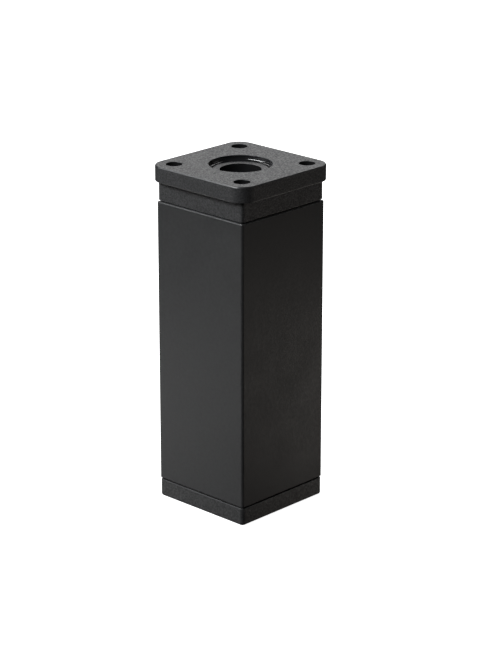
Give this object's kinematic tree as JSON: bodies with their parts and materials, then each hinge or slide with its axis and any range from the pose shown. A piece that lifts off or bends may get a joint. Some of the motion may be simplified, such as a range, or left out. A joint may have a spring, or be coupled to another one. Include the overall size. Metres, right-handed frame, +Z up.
{
  "type": "furniture leg",
  "caption": "Square furniture leg: tube with a moulded mounting plate, an open centre hole for the setting key and a square foot that screws down to set the height.",
  "frame": {"origin": "centre of the foot's underside, on the floor", "axes": "+Z up along the leg, +X and +Y square to the faces of the tube"},
  "size_m": [0.055, 0.055, 0.15],
  "materials": {
    "plate_plastic": "matte",
    "tube_coat": "matte",
    "insert_plastic": "matte",
    "foot_plastic": "matte",
    "plated_steel": "satin",
    "spring_steel": "satin",
    "washer_plastic": "satin"
  },
  "bodies": {
    "leg": {"mounting_plate": "plate_plastic", "tube": "tube_coat", "nut_carrier": "insert_plastic", "spindle_nut": "plated_steel"},
    "foot": {"foot": "foot_plastic", "thrust_washer": "washer_plastic"},
    "spindle": {"spindle": "plated_steel", "retaining_clip": "spring_steel"}
  },
  "joints": [
    {"name": "foot_height", "type": "slide", "parent": "leg", "child": "foot", "axis": [0, 0, -1], "range_m": [0, 0.015]},
    {"name": "spindle_turn", "type": "hinge", "parent": "foot", "child": "spindle", "pos_m": [0, 0, 0.01], "axis": [0, 0, -1], "range_deg": [0, 3600]}
  ],
  "couplings": [
    {"joint": "spindle_turn", "follows": "foot_height", "rad_per_m": 4188.8}
  ]
}
